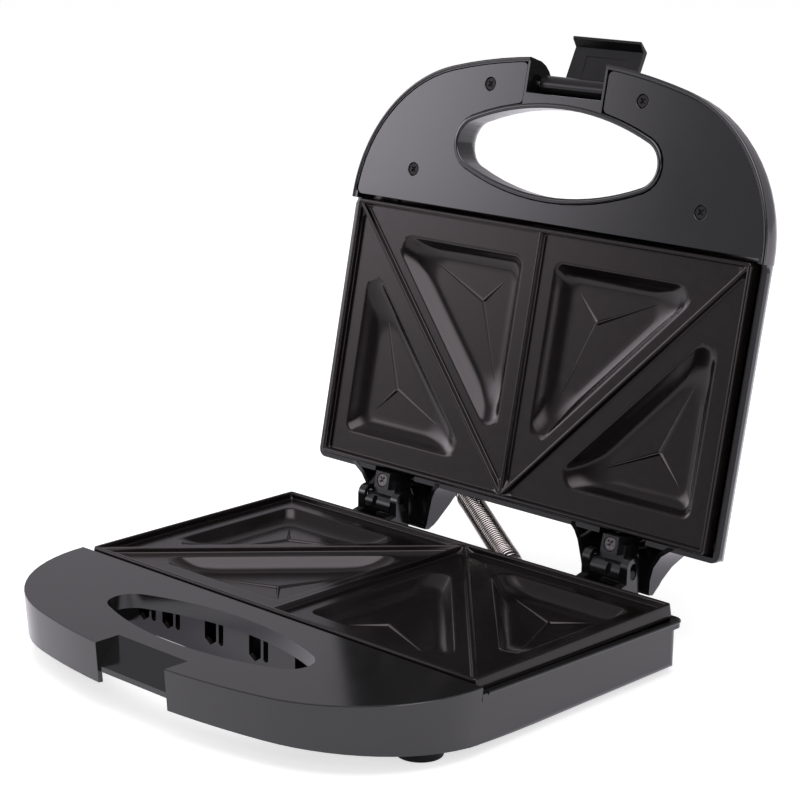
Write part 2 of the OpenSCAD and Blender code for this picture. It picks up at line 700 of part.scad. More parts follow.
module feet()
  color("#151515") place()
    for (s = foot_spots) {
      post(s, -rest_z, keel_z(s[1]) - foot_seat, foot_r);
      post(s, keel_z(s[1]) - foot_seat - 0.1, keel_z(s[1]) + wall + 2, 2.5);
    }

// ---- lid ----------------------------------------------------------------------------------

module crown_section(i)
  intersection() {
    translate([0, lid_depth - crown_r]) circle(r = crown_r - i, $fn = 2 * long_fn);
    union() {
      translate([-side_x + i, -over]) square([2 * (side_x - i), side_h + over]);
      translate([-side_x + lid_side_r, -over]) square([2 * (side_x - lid_side_r), lid_depth + 2]);
      for (s = [-1, 1]) translate([s * (side_x - lid_side_r), side_h]) circle(r = lid_side_r - i);
    }
  }

module crown_profile(i) {
  y0 = body_y0 - 12;
  er = 10;
  intersection() {
    translate([plate_d * 0.46, lid_depth - arch_r]) circle(r = arch_r - i, $fn = long_fn);
    union() {
      polygon([[y0 + i, -over], [body_y1 - i, -over], [body_y1 - i, 13], [body_y1 - er, 13],
        [body_y1 - er, lid_depth + 2], [y0 + 14 + i, lid_depth + 2], [y0 + 8 + i, lid_depth - 5 - i],
        [y0 + i, lid_handle_h - 1 - i]]);
      translate([body_y1 - er, 13]) circle(r = er - i);
    }
  }
}

// What the crown keeps inside of, so that its shoulders run on from the handle's edge.
module crown_limit(i) {
  lower = lid_handle_h - lid_edge_r;
  stack(concat([[handle_plan(i, body_y1 + over), -2 * over]],
    [for (a = [0:15:45]) [handle_plan(i + lean_i + lid_edge_r * (1 - cos(a)), body_y1 + over),
      lower + lid_edge_r * sin(a)]],
    [[handle_plan(i + lean_i + lid_edge_r * 0.29 + 13.3, body_y1 + over),
      lower + lid_edge_r * 0.71 + 13.3]]));
}

// Crown over the plate, inset by i.
module crown(i, y_from)
  intersection() {
    along_y(y_from, body_y1) crown_section(i);
    along_x(2 * half_w + 2) crown_profile(i);
    crown_limit(i + 0.3);
    round_block(2 * half_w, y_from - 10, body_y1 - i, -over - 1, lid_depth + 5, 6 - min(i, 3));
  }

// Hinge ear seen from above and from the side, from the plates' rear edge on
ear_plan = [for (p = [[-27, -6.2], [27.5, -6.2], [26, 1.6], [20.5, 5.5], [16.8, 11], [15.2, 17],
  [14.8, 23.4], [-19, 23.4], [-20.2, 21], [-21.6, 15], [-23.4, 8], [-25.2, 4.4], [-27, 2.6]])
  [hinge_x + p[0], plate_d + p[1]]];
ear_side = [for (p = [[-6.2, 1.2], [23.6, 7.8], [23.6, 10.4], [19, 13.8], [11, 18.2], [3, 21.4],
  [-6.2, 22.4]]) [plate_d + p[0], p[1] + ear_up]];

module ear_solid(i, low)
  intersection() {
    translate([0, 0, -5]) linear_extrude(40) polygon(inset(ear_plan, i));
    translate([30, 0, 0]) rotate([90, 0, 90]) linear_extrude(70)
      polygon(concat([[ear_side[0][0], ear_side[0][1] - low]], [[ear_side[1][0] - i, ear_side[1][1] - low]],
        [for (k = [2:6]) [ear_side[k][0] - i * 0.9, ear_side[k][1] - i]]));
  }

// Outline of the handle panel.
module panel_plan()
  offset(r = panel_r) offset(delta = -panel_r)
    difference() {
      polygon(handle_plan(panel_rim + panel_groove, 12));
      translate([-half_w, panel_back]) square([2 * half_w, 40]);
      polygon(oval_plan(wall + panel_groove));
      translate([-slot_w / 2 - slot_rim - panel_groove, -handle_reach - 2])
        square([slot_w + 2 * (slot_rim + panel_groove), handle_reach + 2 - oval_y]);
    }

module lid_housing() {
  slot_back = -handle_reach + slot_d;
  boss_top = panel_z + panel_t;
  color("#1b1a1c") opened() {
    difference() {
      union() {
        difference() {
          union() {
            difference() {
              handle_dome(0, lean_i, lid_rim, lid_handle_h, lid_edge_r);
              translate([-half_w - 1, 0.6, -over]) cube([2 * half_w + 2, 20, 40]);
            }
            difference() {
              crown(0, body_y0 - 12);
              translate([-half_w - 1, -0.01, -5]) cube([2 * half_w + 2, 200, lid_lip + 5]);
              translate([-half_w - 1, -60, -5]) cube([2 * half_w + 2, 60, lid_handle_h - 3 + 5]);
            }
            // Lip along the cooking body's open edge
            difference() {
              round_block(2 * half_w, 0.2, body_y1, lid_lip, lid_lip + lip_h - 0.6, 4);
              round_block(2 * half_w - 8, -4, body_y1 - 4, lid_lip - over, lid_lip + lip_h, 4);
            }
          }
          // Hollow of the handle and of the crown, with a wall left between them
          difference() {
            handle_dome(panel_rim, panel_rim + lean_i, -over, lid_handle_h - wall, lid_edge_r - wall);
            translate([-half_w, body_y0, -2]) cube([2 * half_w, 30, 40]);
          }
          difference() {
            crown(wall, body_y0 - 12);
            translate([-half_w, -60, -2]) cube([2 * half_w, 60 + body_y0 + wall, 45]);
          }
          translate([-side_x + 4, body_y0 + wall, 0]) cube([2 * side_x - 8, 6, 12]);
          // Step that the panel's rear edge lies on
          translate([-half_w + panel_rim + 0.3, body_y0 - 0.5, -over])
            cube([2 * (half_w - panel_rim - 0.3), wall + 1, boss_top + over]);
        }
        // Collar round the finger opening and walls of the latch gap
        intersection() {
          handle_dome(0.5, lean_i + 0.5, lid_rim, lid_handle_h - 0.4, lid_edge_r);
          union() {
            oval(wall, lid_rim, lid_handle_h - 0.4);
            oval_flare(lid_handle_h - 0.5, oval_edge_r, wall - 0.3, 0.1);
            for (x = [-slot_w / 2 - slot_rim, slot_w / 2])
              translate([x, -handle_reach, lid_rim]) cube([slot_rim, slot_d + wall, lid_handle_h]);
            for (x = [-slot_w / 2 - wall, slot_w / 2])
              translate([x, -handle_reach, boss_top + 0.1]) cube([wall, slot_d + wall, lid_handle_h]);
            translate([-slot_w / 2 - slot_rim, slot_back, lid_rim])
              cube([slot_w + 2 * slot_rim, wall, lid_handle_h]);
            translate([-slot_w / 2 - slot_rim, slot_back, lid_rim])
              cube([slot_w + 2 * slot_rim, oval_y - 16, wall]);
          }
        }
        // Bosses under the handle panel
        intersection() {
          for (s = panel_spots) post(s, boss_top, lid_handle_h + 9, 3.6);
          union() {
            handle_dome(1, lean_i + 1, lid_rim, lid_handle_h - 1, lid_edge_r);
            crown(1, body_y0 - 12);
          }
        }
        // Posts that bear on the upper reflector
        intersection() {
          for (x = [-48, 48], y = [plate_d / 5, plate_d * 0.8])
            post([x, y], pan_level + sheet_t + shut_gap, lid_depth, 4);
          crown(1, body_y0 - 12);
        }
        both_sides() difference() {
          ear_solid(0, 0);
          ear_solid(2, 20);
          translate([30, body_y1 - 12, -5]) cube([70, 12 - wall + 0.4, 40]);
        }
        both_sides() intersection() {
          post([hinge_x, hinge_screw_y], 12, 30, 3.6);
          ear_solid(0.8, 20);
        }
      }
      oval(0, -over, 40);
      oval_flare(lid_handle_h, oval_edge_r, -0.1, 3);
      translate([-slot_w / 2, -handle_reach - 5, -over]) cube([slot_w, slot_d + 5, 40]);
      // The hinge ears open into the crown
      both_sides() intersection() {
        translate([30, body_y1 - wall - 2, -5]) cube([70, wall + 2.5, 5 + 15]);
        ear_solid(2, 20);
        translate([hinge_x - 12, plate_d - 20, -5]) cube([24, 60, 40]);
      }
      for (s = panel_spots) post(s, 0, boss_top + 7, 1.5);
      both_sides() post([hinge_x, hinge_screw_y], 0, 17, 1.5);
      rod_x(-slot_w / 2 - 2, slot_w / 2 + 2, latch_y, latch_up, latch_pin_r);
      for (s = [-1, 1]) translate([s * lens_x, lens_y, 15]) cylinder(r = lens_r, h = 20);
      rod_y(guard_lid[0], body_y1 - wall - over, body_y1 + over, guard_lid[2], guard_r + guard_gap);
    }
  }
}

module lid_handle_panel()
  color("#232124") opened()
    difference() {
      translate([0, 0, panel_z]) linear_extrude(panel_t) panel_plan();
      for (s = panel_spots) {
        post(s, 0, panel_z + 1.6, 3);
        post(s, 0, 10, 1.6);
      }
    }

module upper_plate() color("#2b292a") opened() upper() plate();
module upper_element() color("#8c8a86") opened() upper() element();
module upper_reflector() color("#c4c6c8") opened() upper() reflector([]);

module upper_plate_screws()
  color("#a9abae") opened() upper()
    for (s = screw_spots) difference() {
      union() {
        post(s, -pan_level - sheet_t - 2.2, -pan_level - sheet_t, head_r);
        post(s, -pan_level - sheet_t, -under_face - 0.6, screw_r);
      }
      cross_cut(s, -pan_level - sheet_t - 2.3, 1.3, head_r * 1.2);
    }

module panel_screws()
  color("#2a2a2c") opened()
    for (s = panel_spots) difference() {
      union() {
        post(s, panel_z + 0.3, panel_z + 1.6, 2.6);
        post(s, panel_z + 1.6, panel_z + panel_t + 6, 1.5);
      }
      cross_cut(s, panel_z + 0.2, 0.9, 3.2);
    }

module hinge_block() {
  x0 = hinge_x - barrel_l / 2;
  difference() {
    union() {
      translate([hinge_x - 4.2, plate_d + 0.8, -3]) cube([8.4, 7.6, 15]);
      translate([x0 + 1.4, plate_d + 4, -0.4]) cube([barrel_l - 2.8, axis_back - 4, 4.8]);
      rod_x(x0, x0 + barrel_l, axis_y, axis_z, barrel_r);
    }
    post([hinge_x, hinge_screw_y], -3 - over, -1, 3.1);
    post([hinge_x, hinge_screw_y], -4, 13, 1.6);
    rod_x(x0 - over, x0 + barrel_l + over, axis_y, axis_z, pin_r);
    translate([hinge_x + 0.6, axis_y - 3, -6]) cube([2.6, 5, 4]);
  }
}

module hinge_block_right() color("#2c2a2c") opened() hinge_block();
module hinge_block_left() color("#2c2a2c") opened() mirror([1, 0, 0]) hinge_block();

module hinge_screws()
  color("#55555a") opened() both_sides()
    difference() {
      union() {
        post([hinge_x, hinge_screw_y], -2.8, -1, 2.9);
        post([hinge_x, hinge_screw_y], -1, 16, 1.5);
      }
      cross_cut([hinge_x, hinge_screw_y], -2.9, 1, 3.6);
    }

module hinge_pins()
  color("#9a9ca0") opened() both_sides()
    rod_x(hinge_x - barrel_l / 2 - ear_gap - ear_t + 0.3, hinge_x + barrel_l / 2 + ear_gap + ear_t - 0.3,
      axis_y, axis_z, pin_r);

module lens(x) translate([x, lens_y, lens_z]) {
  cylinder(r = lens_r, h = 8);
  translate([0, 0, -0.01]) cylinder(r = lens_r + 1.2, h = 1.4);
}

module lamp(x)
  translate([x, lens_y, pan_level + sheet_t + shut_gap])
    cylinder(r = 2.6, h = lens_z - 0.1 - pan_level - sheet_t - shut_gap);

module power_lens() color("#8e1410") opened() lens(-lens_x);
module ready_lens() color("#1d6b2a") opened() lens(lens_x);
module power_lamp() color("#d99a72") opened() lamp(-lens_x);
module ready_lamp() color("#d8d0b0") opened() lamp(lens_x);

module latch_pin()
  color("#a4a6aa") opened()
    rod_x(-slot_w / 2 - 2, slot_w / 2 + 2, latch_y, latch_up, latch_pin_r);

// Latch drawn shut: barrel, top web, face and the hook under the ledge.
module latch()
  color("#1d1c1e") folded()
    difference() {
      union() {
        rod_x(-latch_barrel_l / 2, latch_barrel_l / 2, latch_y, latch_up, latch_barrel_r);
        along_x(latch_w) polygon(latch_outline);
      }
      rod_x(-latch_barrel_l, latch_barrel_l, latch_y, latch_up, latch_pin_r + pin_clear);
      translate([-11, latch_face + latch_t - 0.4, -8]) cube([22, 1, 11]);
    }

// ---- wire guard ---------------------------------------------------------------------------

// Where a point of the shut lid lies with the lid open, in the plate frame.
function lifted(p) = [p[0],
  axis_y + (p[1] - axis_y) * cos(open_angle) + (p[2] - axis_z) * sin(open_angle),
  axis_z - (p[1] - axis_y) * sin(open_angle) + (p[2] - axis_z) * cos(open_angle)];

module guard_path(r) {
  path = [guard_base + [0, -3, 0], guard_base + [-1.5, 4, 0.6],
    (guard_base + lifted(guard_lid)) / 2 + [0, 2, -1],
    lifted(guard_lid + [1.5, 4, 0]), lifted(guard_lid + [0, -3, 0])];
  for (k = [0:3]) {
    d = path[k + 1] - path[k];
    translate(path[k])
      rotate([0, acos(d[2] / norm(d)), atan2(d[1], d[0])]) cylinder(r = r, h = norm(d));
    if (k > 0) translate(path[k]) sphere(r = r + 0.08);
  }
}

module wire_guard()
  color("#b9b8b4") place() guard_path(guard_r - 0.1);

// ---- nodes --------------------------------------------------------------------------------

base_housing();
lower_plate();
lower_element();
lower_reflector();
lower_plate_screws();
thermostat();
thermal_fuse();
terminal_block();
feet();
lid_housing();
lid_handle_panel();
upper_plate();
upper_element();
upper_reflector();
upper_plate_screws();
panel_screws();
hinge_block_left();
hinge_block_right();
hinge_screws();
hinge_pins();
power_lens();
ready_lens();
power_lamp();
ready_lamp();
latch_pin();
latch();
wire_guard();
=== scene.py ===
import bpy
import bmesh
import math
import numpy as np
from mathutils import Matrix, Vector


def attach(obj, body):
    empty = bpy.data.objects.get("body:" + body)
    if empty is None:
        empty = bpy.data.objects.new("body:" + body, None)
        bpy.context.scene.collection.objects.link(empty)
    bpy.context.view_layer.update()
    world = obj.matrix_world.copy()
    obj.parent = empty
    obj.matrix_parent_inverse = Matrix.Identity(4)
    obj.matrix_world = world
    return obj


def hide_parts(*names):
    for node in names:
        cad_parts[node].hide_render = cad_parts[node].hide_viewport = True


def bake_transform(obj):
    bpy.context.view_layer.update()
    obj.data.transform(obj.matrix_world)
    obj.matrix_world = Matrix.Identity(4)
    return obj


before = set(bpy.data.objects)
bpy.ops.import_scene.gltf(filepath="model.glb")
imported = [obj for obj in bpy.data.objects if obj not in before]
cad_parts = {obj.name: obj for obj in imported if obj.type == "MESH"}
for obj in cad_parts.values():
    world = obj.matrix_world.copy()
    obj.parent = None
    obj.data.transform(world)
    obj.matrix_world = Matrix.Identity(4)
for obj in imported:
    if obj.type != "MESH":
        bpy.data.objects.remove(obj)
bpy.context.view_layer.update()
sin, cos, pi = math.sin, math.cos, math.pi
rad = math.radians

# ---------------------------------------------------------------- frame
# Sizes are in mm in the plate's frame: x from the middle, y from the plate's handle
# edge, z from the lower plate's rim. place() and opened() take them to the row frame.
OPEN = rad(-101.4)  # the lid's turn from shut to the photo's pose
AXIS_Y, AXIS_Z = 135.2, 0.2
PLATE_GAP = 0.4  # between the plates' rims when shut
REST_Z = 28.4
CY = 67.85315


def place(v):
    """Plate frame in mm to row frame in metres."""
    v = np.asarray(v, float).reshape(-1, 3)
    return (v + np.array([0, -CY, REST_Z])) / 1000.0


def turn_x(v, angle, y0, z0):
    v = np.array(v, float).reshape(-1, 3)
    y, z = v[:, 1] - y0, v[:, 2] - z0
    v[:, 1] = y0 + y * cos(angle) - z * sin(angle)
    v[:, 2] = z0 + y * sin(angle) + z * cos(angle)
    return v


def opened(v):
    """Points of the shut lid to the row frame, where the lid stands open."""
    return place(turn_x(v, OPEN, AXIS_Y, AXIS_Z))


def upper(v):
    """Points of the lower plate to the upper one, its mirror image."""
    v = np.array(v, float).reshape(-1, 3)
    v[:, 2] = PLATE_GAP - v[:, 2]
    return opened(v)


# ---------------------------------------------------------------- materials
GRAIN_DETAIL, MOTTLE_DETAIL = 3, 6
NOISE_LOW, NOISE_HIGH = 0.3, 0.7  # the span that most of a noise's values fall in


def noise(nt, coords, scale, detail):
    n = nt.nodes.new("ShaderNodeTexNoise")
    n.inputs["Scale"].default_value = scale
    n.inputs["Detail"].default_value = detail
    nt.links.new(coords, n.inputs["Vector"])
    return n.outputs["Fac"]


def vary_color(nt, fac, color, amount, target):
    mix = nt.nodes.new("ShaderNodeMix")
    mix.data_type = "RGBA"
    mix.inputs["A"].default_value = (*[c * (1 - amount) for c in color], 1)
    mix.inputs["B"].default_value = (*[min(1, c * (1 + amount)) for c in color], 1)
    nt.links.new(fac, mix.inputs["Factor"])
    nt.links.new(mix.outputs["Result"], target)


def vary_rough(nt, fac, rough, spread, target):
    span = nt.nodes.new("ShaderNodeMapRange")
    span.inputs["From Min"].default_value = NOISE_LOW
    span.inputs["From Max"].default_value = NOISE_HIGH
    span.inputs["To Min"].default_value = rough - spread
    span.inputs["To Max"].default_value = rough + spread
    nt.links.new(fac, span.inputs["Value"])
    nt.links.new(span.outputs["Result"], target)


def add_bump(nt, height, strength, distance, target):
    bump = nt.nodes.new("ShaderNodeBump")
    bump.inputs["Strength"].default_value = strength
    bump.inputs["Distance"].default_value = distance
    nt.links.new(height, bump.inputs["Height"])
    nt.links.new(bump.outputs["Normal"], target)


def material(name, color, rough, grain, mottle, metal=0.0, spec=0.5, ior=1.5,
             tint=(1, 1, 1), rough_var=0.0):
    """Principled surface: grain = (scale per metre, bump strength, distance),
    mottle = (scale per metre, share of the colour), rough_var = spread of the roughness."""
    m = bpy.data.materials.new(name)
    m.use_nodes = True
    nt = m.node_tree
    b = nt.nodes["Principled BSDF"]
    b.inputs["Base Color"].default_value = (*color, 1)
    b.inputs["Roughness"].default_value = rough
    b.inputs["Metallic"].default_value = metal
    b.inputs["Specular IOR Level"].default_value = spec
    b.inputs["IOR"].default_value = ior
    b.inputs["Specular Tint"].default_value = (*tint, 1)
    coords = nt.nodes.new("ShaderNodeTexCoord").outputs["Object"]
    fac = noise(nt, coords, mottle[0], MOTTLE_DETAIL)
    vary_color(nt, fac, color, mottle[1], b.inputs["Base Color"])
    if rough_var:
        vary_rough(nt, fac, rough, rough_var, b.inputs["Roughness"])
    height = noise(nt, coords, grain[0], GRAIN_DETAIL)
    add_bump(nt, height, grain[1], grain[2], b.inputs["Normal"])
    return m


M = {
    "housing": material("housing_black", (0.0070, 0.0068, 0.0072), 0.14, (900, 0.02, 0.0002),
                        (40, 0.1), ior=1.6, rough_var=0.02),
    "panel": material("panel_black", (0.0075, 0.0075, 0.0085), 0.09, (600, 0.015, 0.0002),
                      (30, 0.1), ior=1.6, rough_var=0.015),
    "plate": material("plate_nonstick", (0.0055, 0.0042, 0.0041), 0.19, (2200, 0.05, 0.0001),
                      (300, 0.15), ior=1.40, tint=(1.0, 0.94, 0.93), rough_var=0.02),
    "element": material("element_steel", (0.30, 0.27, 0.24), 0.42, (800, 0.1, 0.0002),
                        (60, 0.2), metal=1.0),
    "sheet": material("sheet_aluminium", (0.72, 0.73, 0.74), 0.32, (700, 0.06, 0.0002),
                      (40, 0.06), metal=1.0),
    "screw_steel": material("screw_steel", (0.56, 0.56, 0.57), 0.28, (1500, 0.08, 0.0001),
                            (200, 0.1), metal=1.0),
    "screw_dark": material("screw_dark", (0.012, 0.011, 0.012), 0.36, (1500, 0.08, 0.0001),
                           (200, 0.2), metal=0.3, spec=0.25),
    "screw_grey": material("screw_grey", (0.13, 0.125, 0.125), 0.30, (1500, 0.08, 0.0001),
                           (200, 0.2), metal=1.0),
    "hinge_steel": material("hinge_steel", (0.50, 0.50, 0.51), 0.25, (1500, 0.05, 0.0001),
                            (200, 0.1), metal=1.0),
    "hinge_block": material("hinge_block", (0.010, 0.010, 0.011), 0.24, (1200, 0.06, 0.0002),
                            (120, 0.15)),
    "foot": material("foot_rubber", (0.006, 0.006, 0.006), 0.5, (1800, 0.3, 0.0002),
                     (200, 0.2), spec=0.15),
    "ceramic": material("control_ceramic", (0.70, 0.68, 0.62), 0.55, (900, 0.15, 0.0002),
                        (80, 0.06)),
    "lens_red": material("lens_red", (0.35, 0.012, 0.01), 0.12, (300, 0.05, 0.0002), (80, 0.1)),
    "lens_green": material("lens_green", (0.012, 0.22, 0.05), 0.12, (300, 0.05, 0.0002), (80, 0.1)),
    "lamp": material("lamp_glass", (0.75, 0.72, 0.68), 0.08, (300, 0.03, 0.0001), (80, 0.05)),
    "latch": material("latch_black", (0.0085, 0.0078, 0.0080), 0.19, (1000, 0.05, 0.0002),
                      (60, 0.1), ior=1.44, rough_var=0.03),
    "spring": material("spring_steel", (0.50, 0.475, 0.44), 0.20, (2500, 0.05, 0.0001),
                       (400, 0.1), metal=1.0),
    "sleeve": material("sleeve_woven", (0.020, 0.019, 0.018), 0.7, (1600, 0.4, 0.0003), (500, 0.2)),
}


def dress(o, look):
    o.data.materials.append(M[look])


# ---------------------------------------------------------------- mesh helpers
def make(name, verts, faces, look, body, replaces=(), merge=0.0, angle=None):
    """A piece from vertices in the row frame (metres): merge joins points that close,
    and edges sharper than angle degrees stay sharp."""
    me = bpy.data.meshes.new(name)
    me.from_pydata([tuple(v) for v in verts], [], faces)
    bm = bmesh.new()
    bm.from_mesh(me)
    if merge:
        bmesh.ops.remove_doubles(bm, verts=bm.verts, dist=merge)
    bmesh.ops.recalc_face_normals(bm, faces=bm.faces)
    bm.to_mesh(me)
    bm.free()
    me.shade_smooth()
    if angle:
        me.set_sharp_from_angle(angle=rad(angle))
    me.update()
    o = bpy.data.objects.new(name, me)
    bpy.context.collection.objects.link(o)
    dress(o, look)
    if body:
        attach(o, body)
    if replaces:
        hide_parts(*replaces)
    return o


def meet(p, d, q, e):
    """Where the line through p along d meets the line through q along e."""
    t = ((q[0] - p[0]) * e[1] - (q[1] - p[1]) * e[0]) / (d[0] * e[1] - d[1] * e[0])
    return p + d * t


NARROW_HALF = rad(30)  # half angle below which a corner counts as narrow
NARROW_ROUND = 1.4  # how much rounder a narrow corner is


def tri_ring(tri, off, r, n=10, m=8):
    """Points of a counter-clockwise triangle with its sides moved in by off[k] and corners rounded
    to r, with n steps a side and m a corner."""
    P = [np.array(p, float) for p in tri]
    d = [(P[(k + 1) % 3] - P[k]) / np.linalg.norm(P[(k + 1) % 3] - P[k]) for k in range(3)]
    inn = [np.array([-e[1], e[0]]) for e in d]
    ends = []
    for k in range(3):
        a = (k + 2) % 3
        corner = meet(P[k] + inn[a] * off[a], d[a], P[k] + inn[k] * off[k], d[k])
        u, w = -d[a], d[k]
        half = math.acos(np.clip(np.dot(u, w), -1, 1)) / 2
        rr = max(r * (NARROW_ROUND if half < NARROW_HALF else 1.0), 1e-4)
        o = corner + (u + w) / np.linalg.norm(u + w) * rr / sin(half)
        t0 = corner + u * rr / math.tan(half)
        a0 = math.atan2(*(t0 - o)[::-1])
        s = pi - 2 * half
        ends.append([o + rr * np.array([cos(a0 + s * j / m), sin(a0 + s * j / m)]) for j in range(m + 1)])
    pts = []
    for k in range(3):
        pts += ends[k]
        a, b = ends[k][-1], ends[(k + 1) % 3][0]
        pts += [a + (b - a) * j / n for j in range(1, n)]
    return np.array(pts)


def rings_faces(count, n, start=0, closed=True):
    """Quads between count rings of n points each."""
    f = []
    for i in range(count - 1):
        for k in range(n if closed else n - 1):
            a, b = start + i * n + k, start + i * n + (k + 1) % n
            f.append((a, b, b + n, a + n))
    return f


def round_rect(hx, y0, y1, r, n=8, seg=12):
    """Counter-clockwise rounded rectangle, the same number of points whatever its size."""
    r = max(r, 1e-3)
    corners = []
    for cx, cy, a in ((hx - r, y0 + r, -90), (hx - r, y1 - r, 0),
                      (-hx + r, y1 - r, 90), (-hx + r, y0 + r, 180)):
        corners.append([(cx + r * cos(rad(a + 90 * k / n)), cy + r * sin(rad(a + 90 * k / n)))
                        for k in range(n + 1)])
    out = []
    for k in range(4):
        out += corners[k]
        a, b = np.array(corners[k][-1]), np.array(corners[(k + 1) % 4][0])
        out += [tuple(a + (b - a) * j / seg) for j in range(1, seg)]
    return np.array(out)


def arc_points(cx, cy, r, a0, a1, n):
    turns = [a0 + (a1 - a0) * k / n for k in range(n + 1)]
    return [(cx + r * cos(a), cy + r * sin(a)) for a in turns]


# ---------------------------------------------------------------- cooking plates
PLATE_HALF, PLATE_D, RIM, FACE = 109.0, 120.0, 2.4, -2.8
POCKET_DEPTH = 5.4
IN_X, IN_Y0, IN_Y1 = PLATE_HALF - RIM, RIM, PLATE_D - RIM
REAR_LEFT, REAR_MID = (-IN_X, IN_Y1), (0, IN_Y1)
FRONT_LEFT, FRONT_MID = (-IN_X, IN_Y0), (0, IN_Y0)

# each cell's corners in counter-clockwise order, what its sides meet, and its pocket's margins
CELLS = [([REAR_LEFT, FRONT_LEFT, REAR_MID], ["rim", "ridge", "rim"], [11 - RIM, 9.4, 12 - RIM]),
         ([FRONT_LEFT, FRONT_MID, REAR_MID], ["rim", "ridge", "ridge"], [13.5 - RIM, 8.5, 5.7])]
# a cell's wall: (offset at a ridge, offset at the rim, z)
FLANK = [(0.0, 0.0, -0.50), (0.45, 0.05, -0.50), (0.62, 0.10, -0.56), (0.74, 0.14, -0.75), (0.95, 0.22, -1.6),
         (1.12, 0.30, -2.42), (1.22, 0.38, -2.66), (1.38, 0.52, -2.77), (1.65, 0.75, -2.8), (2.0, 1.1, -2.8)]
SEAM_R, EDGE_R, FOOT_R = 0.02, 0.3, 1.2  # a cell's corners at the seam, below the edge and at the foot
EDGE_OUT, FOOT_Z = 0.5, -2.0
SUPPORT_OUT, SUPPORT_R = 2.2, 4.0  # flat ring round each pocket
# a pocket's wall
WALL_LEAN, SHOULDER_R, FILLET_R, MOUTH = rad(52), 1.3, 7.0, 0.2
POCKET_R, MOUTH_R, R_GROWTH = 4.2, 4.6, 0.10
FLOOR_IN, FLOOR_R = 2.0, 3.5

# rim and skirt: (inset, z, corner radius)
RIM_PROFILE = [(RIM, -0.5, 0.0), (RIM - 0.05, -0.3, 0.05), (RIM - 0.17, -0.08, 0.1),
               (RIM - 0.38, 0.0, 0.25), (1.28, 0.0, 1.1), (1.0, -0.05, 1.3), (0.82, -0.2, 1.45),
               (0.74, -0.45, 1.55), (0.56, -1.7, 1.7), (0.28, -3.6, 1.9), (0.04, -5.3, 2.1),
               (0.1, -5.85, 2.1), (0.4, -6.0, 1.9), (2.2, -6.0, 1.0), (2.4, -5.8, 0.8), (2.5, -3.4, 0.8)]

# creases on the pocket floors run from each triangle's middle towards its corners
CREASE_TRIS = [[(-98, 108), (-98, 23.7), (-20.05, 108)], [(-85.1, 13.5), (-8.5, 13.5), (-8.5, 96.3)]]
CREASE_STOP, CREASE_STEPS = 15.5, 10
CREASE_WIDE, CREASE_HIGH, CREASE_TIP, CREASE_SUNK = 0.95, 0.95, 0.04, 0.03
CREASE_ACROSS = (-1.0, -0.55, -0.18, 0.18, 0.55, 1.0)


def pocket_profile():
    """(offset, drop) pairs of a pocket's wall: shoulder, slope, and a wide fillet at the floor."""
    out = [(MOUTH - 0.5, 0.0)]
    for k in range(5):
        a = WALL_LEAN * k / 4
        out.append((MOUTH + SHOULDER_R * sin(a), SHOULDER_R * (1 - cos(a))))
    x1, z1 = out[-1]
    dz = POCKET_DEPTH - z1 - FILLET_R * (1 - cos(WALL_LEAN))
    x2, z2 = x1 + dz / math.tan(WALL_LEAN), z1 + dz
    out.append(((x1 + x2) / 2, (z1 + z2) / 2))
    for k in range(9, -1, -1):
        a = WALL_LEAN * k / 9
        out.append((x2 + FILLET_R * (sin(WALL_LEAN) - sin(a)), z2 + FILLET_R * (cos(a) - cos(WALL_LEAN))))
    return out


def add_rings(V, F, rings, zs, cap=False):
    start, n = len(V), len(rings[0])
    V += [(p[0], p[1], z) for ring, z in zip(rings, zs) for p in ring]
    F += rings_faces(len(rings), n, start)
    if cap:
        F.append(tuple(range(start + (len(rings) - 1) * n, start + len(rings) * n)))


def sided(tri, kinds, margin, s):
    """A cell on the left (s = 1) or mirrored to the right (s = -1), still counter-clockwise."""
    t = [(p[0] * s, p[1]) for p in tri]
    if s > 0:
        return t, kinds, margin
    return [t[0], t[2], t[1]], kinds[::-1], margin[::-1]


def add_cell(V, F, tri, kinds, margin):
    """One triangular cell: flank, face, pocket wall and floor."""
    rings, zs = [], []
    for ridge, rim, z in FLANK:
        r = SEAM_R + (FOOT_R if z < FOOT_Z else EDGE_R * (ridge > EDGE_OUT))
        rings.append(tri_ring(tri, [ridge if q == "ridge" else rim for q in kinds], r))
        zs.append(z)
    rings.append(tri_ring(tri, [g - SUPPORT_OUT for g in margin], SUPPORT_R))
    zs.append(FACE)
    profile = pocket_profile()
    for off, drop in profile:
        r = (MOUTH_R if drop == 0 else POCKET_R) + R_GROWTH * max(0, off)
        rings.append(tri_ring(tri, [g + off for g in margin], r))
        zs.append(FACE - drop)
    rings.append(tri_ring(tri, [g + profile[-1][0] + FLOOR_IN for g in margin], FLOOR_R))
    zs.append(FACE - POCKET_DEPTH)
    add_rings(V, F, rings, zs, cap=True)


def add_crease(V, F, centre, corner, s):
    """One tapering rib from a pocket's middle towards a corner, on side s."""
    u = (corner - centre) / np.linalg.norm(corner - centre)
    w = np.array([-u[1], u[0]])
    run = np.linalg.norm(corner - centre) - CREASE_STOP
    start = len(V)
    for j in range(CREASE_STEPS + 1):
        f = j / CREASE_STEPS
        wide = CREASE_WIDE * (1 - f) ** 0.8 + CREASE_TIP
        high = CREASE_HIGH * (1 - f) ** 0.9
        for q in CREASE_ACROSS:
            p = centre + u * run * f + w * wide * q
            h = high * (1 - abs(q)) ** 1.1
            V.append((p[0] * s, p[1], FACE - POCKET_DEPTH - CREASE_SUNK + h))
    F += rings_faces(CREASE_STEPS + 1, len(CREASE_ACROSS), start, closed=False)


